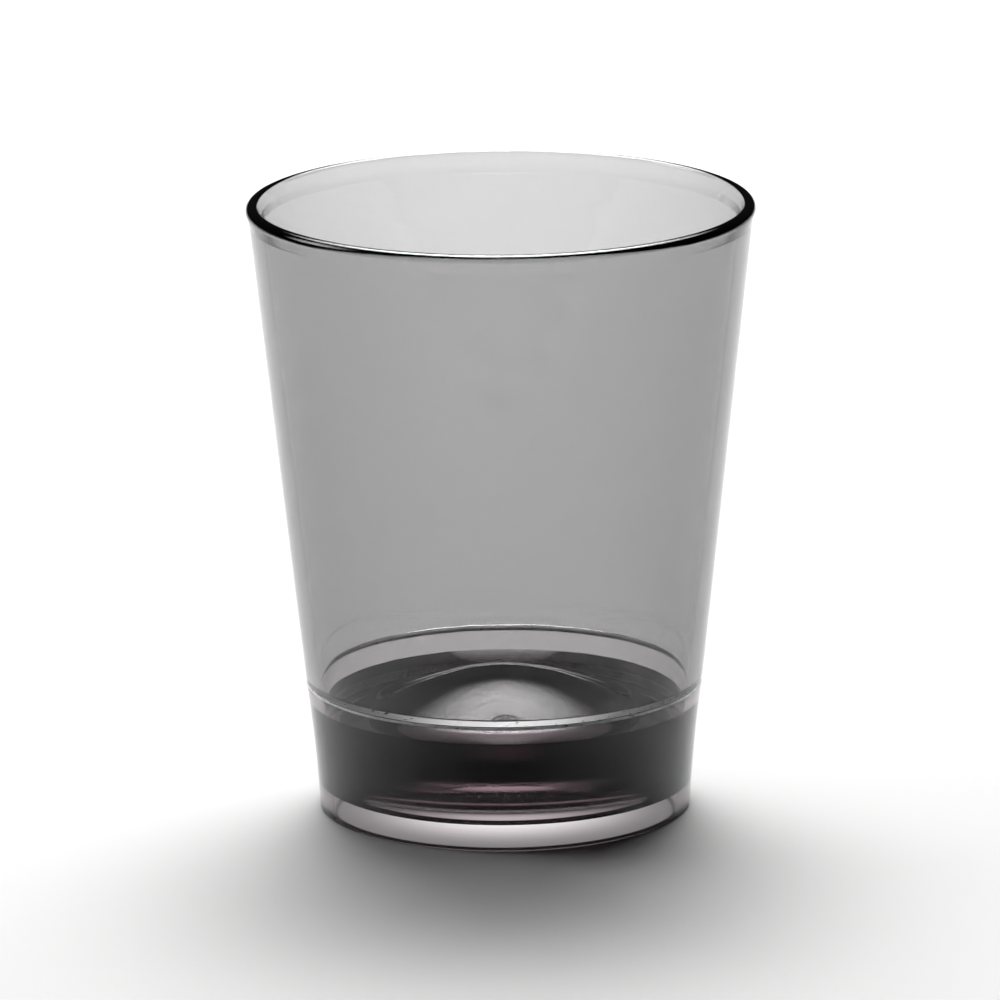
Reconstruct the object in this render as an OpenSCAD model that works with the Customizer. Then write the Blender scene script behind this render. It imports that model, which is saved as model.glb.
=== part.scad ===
// Whiskey tumbler: a tapered clear wall cemented onto the upstand of a heavy solid base.
// +Z is up. The origin is the centre of the foot, on the surface that the tumbler stands on.

/* [Overall size] */
// Height from the table to the top of the lip
height = 102; // [80:0.5:120]
// Outer diameter of the wall, carried straight up to the lip
mouth_diameter = 83.3; // [76:0.1:96]
// Outer diameter that the wall's taper would reach at the table
taper_diameter = 60.9; // [58:0.1:64]

/* [Wall and lip] */
// Thickness of the wall
wall = 2.4; // [2:0.1:3]
// How far the lip stands out from the wall
lip_proud = 0.3; // [0.1:0.05:0.5]
// Rounding of the lip's outer edge
lip_radius = 1.2; // [0.8:0.05:1.3]
// Width of the flat on top of the lip
lip_flat = 0.2; // [0.1:0.05:0.4]
// Rounding of the lip's inner edge
lip_inner_radius = 0.6; // [0.3:0.05:0.6]
// Depth over which the inside of the lip slopes back to the wall
lip_slope = 3.4; // [2.5:0.1:4]
// Height below the lip's widest point at which it leaves the straight wall
lip_under = 1.8; // [1:0.1:3]

/* [Drinking floor] */
// Height of the floor's rim above the table
floor_height = 18.4; // [17:0.1:20]
// Depth of the shallow dip between the floor's rim and its raised middle
dip = 0.6; // [0:0.1:1]
// Height of the raised middle above the dip
rise = 5.1; // [3:0.1:6]
// Radius of the raised middle
rise_radius = 21.5; // [18:0.5:25]

/* [Foot] */
// Outer diameter of the base at the table
foot_diameter = 61.5; // [60:0.1:62]
// How far the base's side is drawn in at mid height
waist = 0.22; // [0:0.02:0.3]
// Rounding of the foot's outer edge
foot_round = 0.45; // [0.2:0.05:0.8]
// Height of the foot ring under the base
foot_ring_height = 4.15; // [3:0.05:5]
// Width of the foot ring
foot_ring_width = 2.7; // [2:0.1:4]
// Radius of the punt, the dome pressed into the underside
punt_radius = 23; // [18:0.5:25]
// Height of the punt's rounded shoulder above the foot ring's ceiling
shoulder_rise = 10; // [8:0.5:12]
// Radius of the bell that crowns the punt
bell_radius = 16; // [8:0.5:20]
// Thickness of plastic left between the bell's top and the raised floor
centre_thickness = 4.45; // [3:0.05:5]

/* [Cemented joint] */
// Height of the outer seam between wall and base
seam_height = 21.4; // [21.2:0.1:24]
// How much higher the joint is at the inside of the wall than at the outer seam
cone_rise = 0.95; // [0.4:0.05:1.4]
// Bevel that breaks the base's outer edge at the seam
seam_bevel = 0.3; // [0.1:0.05:0.5]
// Thickness of the cement between wall and base
cement = 0.2; // [0.1:0.05:0.3]
// How far the cement stops short of the inside of the wall
cement_inset = 0.4; // [0.2:0.05:0.8]
// How far the bead of cement at the seam is set back under the wall
bead_inset = 0.25; // [0.1:0.05:0.3]

/* [Hidden] */
$fn = 180;
waist_steps = 12;
curve_steps = 24;
// Above 1, this softens the foot of the floor's raised middle
rise_power = 1.3;
// Angle at which the lip's inner rounding meets the slope, and the step between its points
lip_turn = 155;
lip_step = 13;
// Share of the bevel that the bead of cement covers
bead_cover = 0.9;

// Outer radius of the wall's straight taper at height z
function taper(z) = (taper_diameter + (mouth_diameter - taper_diameter) * z / height) / 2;
function straight_wall(z) = [taper(z), z];

lip_z = height - lip_radius;
lip_centre = [taper(lip_z) + lip_proud - lip_radius, lip_z];
lip_inner_centre = [lip_centre.x - lip_flat, height - lip_inner_radius];
foot_inner = foot_diameter / 2 - foot_ring_width;
foot_corner = [foot_diameter / 2 - foot_round, foot_round];
shoulder_top = foot_ring_height + shoulder_rise;
bell_rise = floor_height - dip + rise - centre_thickness - shoulder_top;

// Raised middle of the floor, for t from 0 at the centre to 1 where it meets the dip
function rise_point(t) = [rise_radius * t, floor_height - dip + rise * pow(1 - t * t, rise_power)];

// Punt: a rounded shoulder with a bell on top, for the angle a from 0 at its edge to 90 at the centre
function bell(r) = bell_rise * (1 + cos(180 * min(r / bell_radius, 1))) / 2;
function punt_z(r, a) = foot_ring_height + shoulder_rise * sin(a) + bell(r);
function punt_point(a) = [punt_radius * cos(a), punt_z(punt_radius * cos(a), a)];

// Side of the base: a straight taper drawn in by the waist, for t from 0 at the foot to 1 at the seam
side_top = seam_height - seam_bevel;
function side_r(t) =
    foot_diameter / 2 + (taper(side_top) - foot_diameter / 2) * t - 4 * waist * t * (1 - t);
function side_z(t) = foot_round + (side_top - foot_round) * t;

// The conical joint, raised by a gap: the point on it at a distance in from the outer seam
function joint_z(gap, inset) = seam_height + gap + cone_rise * inset / wall;
function joint_at(gap, inset) = straight_wall(joint_z(gap, inset)) - [inset, 0];
bevel_top = joint_at(0, seam_bevel);
bevel_foot = [side_r(1), side_z(1)];

module cup_wall() {
    color([0.42, 0.41, 0.42, 0.5]) rotate_extrude() polygon(concat(
        [joint_at(cement, wall), joint_at(cement, 0), straight_wall(lip_z - lip_under)],
        [for (a = [0 : 10 : 90]) lip_centre + lip_radius * [cos(a), sin(a)]],
        [for (a = [90 : lip_step : lip_turn]) lip_inner_centre + lip_inner_radius * [cos(a), sin(a)]],
        [straight_wall(height - lip_slope) - [wall, 0]]
    ));
}
module base() {
    color([0.10, 0.11, 0.11]) rotate_extrude() polygon(concat(
        [for (i = [0 : curve_steps]) rise_point(i / curve_steps)],
        [straight_wall(floor_height) - [wall, 0], joint_at(0, wall), bevel_top],
        [for (i = [waist_steps : -1 : 0]) [side_r(i / waist_steps), side_z(i / waist_steps)]],
        [for (a = [15 : 15 : 90]) foot_corner + foot_round * [cos(a), -sin(a)]],
        [[foot_inner, 0], [foot_inner, foot_ring_height]],
        [for (i = [0 : curve_steps]) punt_point(90 * i / curve_steps)]
    ));
}
module cement_ring() {
    color([0.80, 0.78, 0.79]) rotate_extrude() polygon([
        joint_at(0, wall - cement_inset),
        bevel_top,
        bevel_top + (bevel_foot - bevel_top) * bead_cover,
        joint_at(cement, bead_inset),
        joint_at(cement, wall - cement_inset)
    ]);
}
cup_wall();
base();
cement_ring();
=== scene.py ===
# Whiskey tumbler: the visible pieces, their plastics, the studio and the camera.
# The scene is in metres with +Z up. Outlines are lists of (radius, height) in millimetres,
# turned about the vertical axis through the centre of the foot.
import math

import bmesh
import bpy
from mathutils import Matrix, Vector


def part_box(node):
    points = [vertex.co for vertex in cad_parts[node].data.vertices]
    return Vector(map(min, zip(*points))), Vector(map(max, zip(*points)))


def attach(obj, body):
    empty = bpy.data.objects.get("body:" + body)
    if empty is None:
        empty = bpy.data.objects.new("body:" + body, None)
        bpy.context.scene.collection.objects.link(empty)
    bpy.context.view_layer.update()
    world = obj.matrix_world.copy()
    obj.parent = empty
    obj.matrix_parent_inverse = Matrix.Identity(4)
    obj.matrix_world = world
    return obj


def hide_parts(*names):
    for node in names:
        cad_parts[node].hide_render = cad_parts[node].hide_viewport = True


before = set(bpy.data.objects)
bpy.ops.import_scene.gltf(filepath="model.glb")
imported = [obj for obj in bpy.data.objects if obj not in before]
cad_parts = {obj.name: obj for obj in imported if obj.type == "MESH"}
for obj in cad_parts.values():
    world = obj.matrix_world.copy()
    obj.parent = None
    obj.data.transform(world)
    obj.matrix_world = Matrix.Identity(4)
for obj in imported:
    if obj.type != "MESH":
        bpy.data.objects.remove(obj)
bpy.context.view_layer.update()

MM = 0.001

# ---------------------------------------------------------------- sizes from the frame, in mm

wall_low, wall_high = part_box("cup_wall")
height = wall_high.z / MM
lip_outer = wall_high.x / MM

# ---------------------------------------------------------------- sizes of the mouldings, in mm

WALL = 2.4
TAPER_FOOT = 30.45

LIP_PROUD = 0.3
LIP_RADIUS = 1.2
LIP_FLAT = 0.2
LIP_UNDER = 1.8
LIP_SLOPE = 3.4
INNER_RADIUS = 0.6
INNER_TURN = 155

FLOOR = 18.4
DIP = 0.6
RISE = 5.1
RISE_RADIUS = 21.5
RISE_POWER = 1.3

FOOT_RADIUS = 30.75
FOOT_ROUND = 0.45
FOOT_INNER = 28.05
RECESS = 4.15
WAIST = 0.22
PUNT_RADIUS = 23
SHOULDER = 10
BELL_RADIUS = 16
BELL_RISE = 4.3

CONE_RISE = 0.95
BEVEL = 0.3
CEMENT = 0.2
CEMENT_INSET = 0.4
BEAD_INSET = 0.25
BEAD_FILL = 0.9
# How far the cement enters its neighbours, so that no film of air shows between them
BITE = 0.01

seam_height = wall_low.z / MM - CEMENT
crest_height = seam_height + CONE_RISE
lip_z = height - LIP_RADIUS
slope = (lip_outer - LIP_PROUD - TAPER_FOOT) / lip_z
seam_top = seam_height - BEVEL


def taper(z):
    """Radius of the wall's straight outside at height z."""
    return TAPER_FOOT + slope * z


# ---------------------------------------------------------------- outlines

RISE_STEPS = 48
SIDE_STEPS = 16
PUNT_STEPS = 64
LIP_STEPS = 12
INNER_STEPS = 6
FOOT_STEPS = 5
FOOT_START = -15


def arc(centre, radius, start, end, steps):
    """Points on a circle, from one angle to another in degrees."""
    turns = [math.radians(start + (end - start) * i / steps) for i in range(steps + 1)]
    return [(centre[0] + radius * math.cos(a), centre[1] + radius * math.sin(a)) for a in turns]


def mix(a, b, share):
    """The point a share of the way from a to b."""
    return tuple(p + (q - p) * share for p, q in zip(a, b))


def joint(gap):
    """The conical joint raised by a gap: its inner end, the point at the bevel, and the outer seam."""
    inner = (taper(crest_height + gap) - WALL, crest_height + gap)
    outer = (taper(seam_height + gap), seam_height + gap)
    return [inner, mix(outer, inner, BEVEL / WALL), outer]


def wall_outline():
    """The sleeve from the joint to the lip, whose inside slopes back to the wall."""
    rim = (lip_outer - LIP_RADIUS, height - LIP_RADIUS)
    inner_rim = (rim[0] - LIP_FLAT, height - INNER_RADIUS)
    under_lip = lip_z - LIP_UNDER
    slope_foot = height - LIP_SLOPE
    return (
        joint(CEMENT)[::2]
        + [(taper(under_lip), under_lip)]
        + arc(rim, LIP_RADIUS, 0, 90, LIP_STEPS)
        + arc(inner_rim, INNER_RADIUS, 90, INNER_TURN, INNER_STEPS)
        + [(taper(slope_foot) - WALL, slope_foot)]
    )


def side(t):
    """Side of the base from the foot (0) to the bevel under the seam (1), with a slight waist."""
    radius = FOOT_RADIUS + (taper(seam_top) - FOOT_RADIUS) * t - 4 * WAIST * t * (1 - t)
    return (radius, FOOT_ROUND + (seam_top - FOOT_ROUND) * t)


def rise_point(t):
    """Raised middle of the drinking floor, from the centre (0) to the dip round it (1)."""
    return (RISE_RADIUS * t, FLOOR - DIP + RISE * (1 - t * t) ** RISE_POWER)


def punt_point(t):
    """The dome in the underside, a shoulder crowned by a bell, from its edge (0) to its top (1)."""
    radius = PUNT_RADIUS * math.cos(math.pi / 2 * t)
    bell = 0.5 + 0.5 * math.cos(math.pi * min(radius / BELL_RADIUS, 1))
    return (radius if t < 1 else 0, RECESS + SHOULDER * math.sin(math.pi / 2 * t) + BELL_RISE * bell)


def base_outline():
    """The solid bottom: drinking floor, upstand, side, foot ring and punt."""
    foot_corner = (FOOT_RADIUS - FOOT_ROUND, FOOT_ROUND)
    return (
        [rise_point(i / RISE_STEPS) for i in range(RISE_STEPS + 1)]
        + [(taper(FLOOR) - WALL, FLOOR)]
        + joint(0)[:2]
        + [side(1 - i / SIDE_STEPS) for i in range(SIDE_STEPS + 1)]
        + arc(foot_corner, FOOT_ROUND, FOOT_START, -90, FOOT_STEPS)
        + [(FOOT_INNER, 0), (FOOT_INNER, RECESS)]
        + [punt_point(i / PUNT_STEPS) for i in range(PUNT_STEPS + 1)]
    )


def cement_outline():
    """The film between wall and base, with the bead that fills the groove at the seam."""
    top, bottom = joint(CEMENT + BITE), joint(-BITE)
    inner_end = CEMENT_INSET / WALL
    groove_foot = mix(joint(0)[1], side(1), BEAD_FILL)
    return [
        mix(bottom[0], bottom[2], inner_end),
        bottom[1],
        groove_foot,
        mix(top[2], top[0], BEAD_INSET / WALL),
        mix(top[0], top[2], inner_end),
    ]


# ---------------------------------------------------------------- turning

SEGMENTS = 360
SHARP = math.radians(18)
ON_AXIS = 1e-6
# Longer stretches of an outline get extra points at these distances from their ends, in mm
SHORT = 0.8
NEAR_CORNER = (0.1, 0.3, 0.8)


def finer(outline):
    """The same closed outline with long stretches divided, most finely near their ends."""
    points = []
    for a, b in zip(outline, outline[1:] + outline[:1]):
        length = math.dist(a, b)
        if length < SHORT or a[0] == b[0] == 0:
            shares = [0]
        else:
            ends = [gap / length for gap in NEAR_CORNER if gap < length / 2]
            shares = [0] + ends + [0.5] + [1 - share for share in reversed(ends)]
        points += [mix(a, b, t) for t in shares]
    return points


def turn(name, outline):
    """A closed solid of revolution of an outline, smooth except where the outline has a corner."""
    mesh = bmesh.new()
    rings = []
    for radius, z in finer(outline):
        count = SEGMENTS if radius > ON_AXIS else 1
        turns = [2 * math.pi * k / SEGMENTS for k in range(count)]
        rings.append([
            mesh.verts.new((radius * MM * math.cos(a), radius * MM * math.sin(a), z * MM)) for a in turns
        ])
    for ring, after in zip(rings, rings[1:] + rings[:1]):
        if len(ring) == len(after) == 1:
            continue
        for k in range(SEGMENTS):
            corners = [ring[k % len(ring)], ring[(k + 1) % len(ring)]]
            corners += [after[(k + 1) % len(after)], after[k % len(after)]]
            mesh.faces.new(list(dict.fromkeys(corners)))
    bmesh.ops.recalc_face_normals(mesh, faces=mesh.faces)
    data = bpy.data.meshes.new(name)
    mesh.to_mesh(data)
    mesh.free()
    data.shade_smooth()
    data.set_sharp_from_angle(angle=SHARP)
    piece = bpy.data.objects.new(name, data)
    bpy.context.scene.collection.objects.link(piece)
    return piece


# ---------------------------------------------------------------- plastics

ACRYLIC_IOR = 1.49
SMOKE_DENSITY = 268
SMOKE_TINT = (0.135, 0.125, 0.13)
BASE_DENSITY = 245
BASE_TINT = (0.17, 0.10, 0.125)

CEMENT_IOR = 1.45
CEMENT_COLOUR = (0.92, 0.90, 0.91)
SHINIEST = 0.25
DULLEST = 0.45
LEAST_SILVER = 0.6

# Noise scales are in cycles per metre, and depths in metres
SCUFF_SCALE = 900
SCUFF_ROUGHNESS = 0.05
FLOW_SCALE = 120
FLOW_DEPTH = 0.00002
FLAKE_SCALE = 1100
FLAKE_DEPTH = 0.00001


def noise(nodes, links, scale, detail, between, values):
    """Noise over the piece. What lies between two levels of it is spread over the values."""
    place = nodes.new("ShaderNodeTexCoord")
    cloud = nodes.new("ShaderNodeTexNoise")
    cloud.inputs["Scale"].default_value = scale
    cloud.inputs["Detail"].default_value = detail
    spread = nodes.new("ShaderNodeMapRange")
    spread.inputs["From Min"].default_value = between[0]
    spread.inputs["From Max"].default_value = between[1]
    spread.inputs["To Min"].default_value = values[0]
    spread.inputs["To Max"].default_value = values[1]
    links.new(place.outputs["Object"], cloud.inputs["Vector"])
    links.new(cloud.outputs[0], spread.inputs["Value"])
    return spread.outputs[0]


def dent(nodes, links, height_socket, depth, shader):
    """Bump that raises the surface by up to a depth in metres."""
    bump = nodes.new("ShaderNodeBump")
    bump.inputs["Distance"].default_value = depth
    links.new(height_socket, bump.inputs["Height"])
    links.new(bump.outputs["Normal"], shader.inputs["Normal"])


def clear_plastic(name, density, tint):
    """See-through moulded plastic: the tint is in its depth, so thick parts are dark."""
    material = bpy.data.materials.new(name)
    material.use_nodes = True
    nodes, links = material.node_tree.nodes, material.node_tree.links
    shader = nodes["Principled BSDF"]
    shader.inputs["Base Color"].default_value = (1, 1, 1, 1)
    shader.inputs["Transmission Weight"].default_value = 1
    shader.inputs["IOR"].default_value = ACRYLIC_IOR
    scuffs = noise(nodes, links, SCUFF_SCALE, detail=4, between=(0.5, 0.8), values=(0, SCUFF_ROUGHNESS))
    links.new(scuffs, shader.inputs["Roughness"])
    flow = noise(nodes, links, FLOW_SCALE, detail=1, between=(0, 1), values=(0, 1))
    dent(nodes, links, flow, FLOW_DEPTH, shader)
    depth = nodes.new("ShaderNodeVolumeAbsorption")
    depth.inputs["Color"].default_value = (*tint, 1)
    depth.inputs["Density"].default_value = density
    links.new(depth.outputs["Volume"], nodes["Material Output"].inputs["Volume"])
    return material


def cured_cement():
    """Whitish film, silvery in flakes where thin air films are caught in it."""
    material = bpy.data.materials.new("cured_cement")
    material.use_nodes = True
    nodes, links = material.node_tree.nodes, material.node_tree.links
    shader = nodes["Principled BSDF"]
    shader.inputs["Base Color"].default_value = (*CEMENT_COLOUR, 1)
    shader.inputs["IOR"].default_value = CEMENT_IOR
    flakes = noise(nodes, links, FLAKE_SCALE, detail=3, between=(0.35, 0.6), values=(LEAST_SILVER, 1))
    links.new(flakes, shader.inputs["Metallic"])
    gloss = noise(nodes, links, FLAKE_SCALE, detail=3, between=(0.3, 0.7), values=(DULLEST, SHINIEST))
    links.new(gloss, shader.inputs["Roughness"])
    dent(nodes, links, flakes, FLAKE_DEPTH, shader)
    return material


def dress(piece, material, node):
    """Give a piece its material, and let it stand for its node in the frame."""
    piece.data.materials.append(material)
    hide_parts(node)
    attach(piece, "root")


smoke = clear_plastic("smoke_plastic", SMOKE_DENSITY, SMOKE_TINT)
base_smoke = clear_plastic("base_smoke_plastic", BASE_DENSITY, BASE_TINT)

dress(turn("moulded_wall", wall_outline()), smoke, "cup_wall")
dress(turn("moulded_base", base_outline()), base_smoke, "base")
dress(turn("cement_film", cement_outline()), cured_cement(), "cement_ring")


# ---------------------------------------------------------------- studio

# Places and sizes are in metres, and lights in watts
SOFTBOX_SIZE = 1.5
SOFTBOX_WATTS = 150
SOFTBOX_PLACE = (0, 0.68, 1.12)
SIDE_SIZE = 0.8
SIDE_WATTS = 12
SIDE_PLACE = (-0.9, 0.2, 0.7)
# The glow of a bright table inside the foot ring, where the other lights don't reach
GLOW_SIZE = 0.055
GLOW_WATTS = 0.020
GLOW_EDGE = 0.15
GLOW_HEIGHT = 0.0002

FRONT_SKY = 0.15
BACK_SKY = 0.3
SKY_FROM = -0.2
SKY_TO = 0.8

FLOOR_HALF = 4
FLOOR_ALBEDO = 0.46
FLOOR_ROUGHNESS = 0.7
FLOOR_SPECULAR = 0.2

# The lens is in millimetres, and angles in radians
CAMERA_LENS = 346.28
CAMERA_PLACE = (-0.00048, -1.53968, 0.436704)
CAMERA_PITCH = 0.245111
CAMERA_ROLL = 0.00781112


def stage_floor():
    """Plain pale floor under the foot."""
    data = bpy.data.meshes.new("studio_floor")
    corners = [(x * FLOOR_HALF, y * FLOOR_HALF, 0) for x, y in ((-1, -1), (1, -1), (1, 1), (-1, 1))]
    data.from_pydata(corners, [], [(0, 1, 2, 3)])
    floor = bpy.data.objects.new("studio_floor", data)
    bpy.context.scene.collection.objects.link(floor)
    material = bpy.data.materials.new("pale_floor")
    material.use_nodes = True
    shader = material.node_tree.nodes["Principled BSDF"]
    shader.inputs["Base Color"].default_value = (FLOOR_ALBEDO, FLOOR_ALBEDO, FLOOR_ALBEDO, 1)
    shader.inputs["Roughness"].default_value = FLOOR_ROUGHNESS
    shader.inputs["Specular IOR Level"].default_value = FLOOR_SPECULAR
    data.materials.append(material)


def studio_sky():
    """Dim surroundings, dimmest on the viewer's side, so that the soft lights give the highlights."""
    world = bpy.data.worlds.new("studio_sky")
    bpy.context.scene.world = world
    world.use_nodes = True
    nodes, links = world.node_tree.nodes, world.node_tree.links
    place = nodes.new("ShaderNodeTexCoord")
    axes = nodes.new("ShaderNodeSeparateXYZ")
    fade = nodes.new("ShaderNodeMapRange")
    fade.inputs["From Min"].default_value = SKY_FROM
    fade.inputs["From Max"].default_value = SKY_TO
    fade.inputs["To Min"].default_value = FRONT_SKY
    fade.inputs["To Max"].default_value = BACK_SKY
    links.new(place.outputs["Generated"], axes.inputs[0])
    links.new(axes.outputs["Y"], fade.inputs["Value"])
    links.new(fade.outputs[0], nodes["Background"].inputs["Strength"])


def fade_to_edge(light, edge):
    """Diffuser that is brightest in its middle and fades to a share of that at its edge."""
    light.use_nodes = True
    nodes, links = light.node_tree.nodes, light.node_tree.links
    place = nodes.new("ShaderNodeNewGeometry")
    offset = nodes.new("ShaderNodeVectorMath")
    offset.operation = "DISTANCE"
    offset.inputs[1].default_value = (0.5, 0.5, 0)
    fade = nodes.new("ShaderNodeMapRange")
    fade.interpolation_type = "SMOOTHSTEP"
    fade.inputs["From Min"].default_value = 0
    fade.inputs["From Max"].default_value = 0.5
    fade.inputs["To Min"].default_value = 1
    fade.inputs["To Max"].default_value = edge
    links.new(place.outputs["Parametric"], offset.inputs[0])
    links.new(offset.outputs["Value"], fade.inputs["Value"])
    links.new(fade.outputs[0], nodes["Emission"].inputs["Strength"])


def lamp(name, size, watts, place, target, edge):
    """Round soft light aimed from its place at a target."""
    light = bpy.data.lights.new(name, "AREA")
    light.shape = "DISK"
    light.size = size
    light.energy = watts
    fade_to_edge(light, edge)
    thing = bpy.data.objects.new(name, light)
    thing.location = place
    thing.rotation_euler = (Vector(target) - Vector(place)).to_track_quat("-Z", "Y").to_euler()
    bpy.context.scene.collection.objects.link(thing)


def camera():
    """Long lens, a little above the lip, as in the reference view."""
    lens = bpy.data.cameras.new("camera")
    lens.sensor_width = 36
    lens.lens = CAMERA_LENS
    lens.clip_end = 100
    ahead = Vector((0, math.cos(CAMERA_PITCH), -math.sin(CAMERA_PITCH)))
    up = Vector((0, math.sin(CAMERA_PITCH), math.cos(CAMERA_PITCH)))
    right = Vector((1, 0, 0))
    across = right * math.cos(CAMERA_ROLL) - up * math.sin(CAMERA_ROLL)
    upward = right * math.sin(CAMERA_ROLL) + up * math.cos(CAMERA_ROLL)
    thing = bpy.data.objects.new("camera", lens)
    bpy.context.scene.collection.objects.link(thing)
    turned = Matrix((across, upward, -ahead)).transposed().to_4x4()
    thing.matrix_world = Matrix.Translation(CAMERA_PLACE) @ turned
    bpy.context.scene.camera = thing


stage_floor()
studio_sky()
lamp("overhead", SOFTBOX_SIZE, SOFTBOX_WATTS, SOFTBOX_PLACE, (0, 0, 0), 0)
lamp("side", SIDE_SIZE, SIDE_WATTS, SIDE_PLACE, (0, 0, 0), 0)
lamp("foot_glow", GLOW_SIZE, GLOW_WATTS, (0, 0, GLOW_HEIGHT), (0, 0, 1), GLOW_EDGE)
camera()
bpy.context.scene.view_settings.view_transform = "Standard"
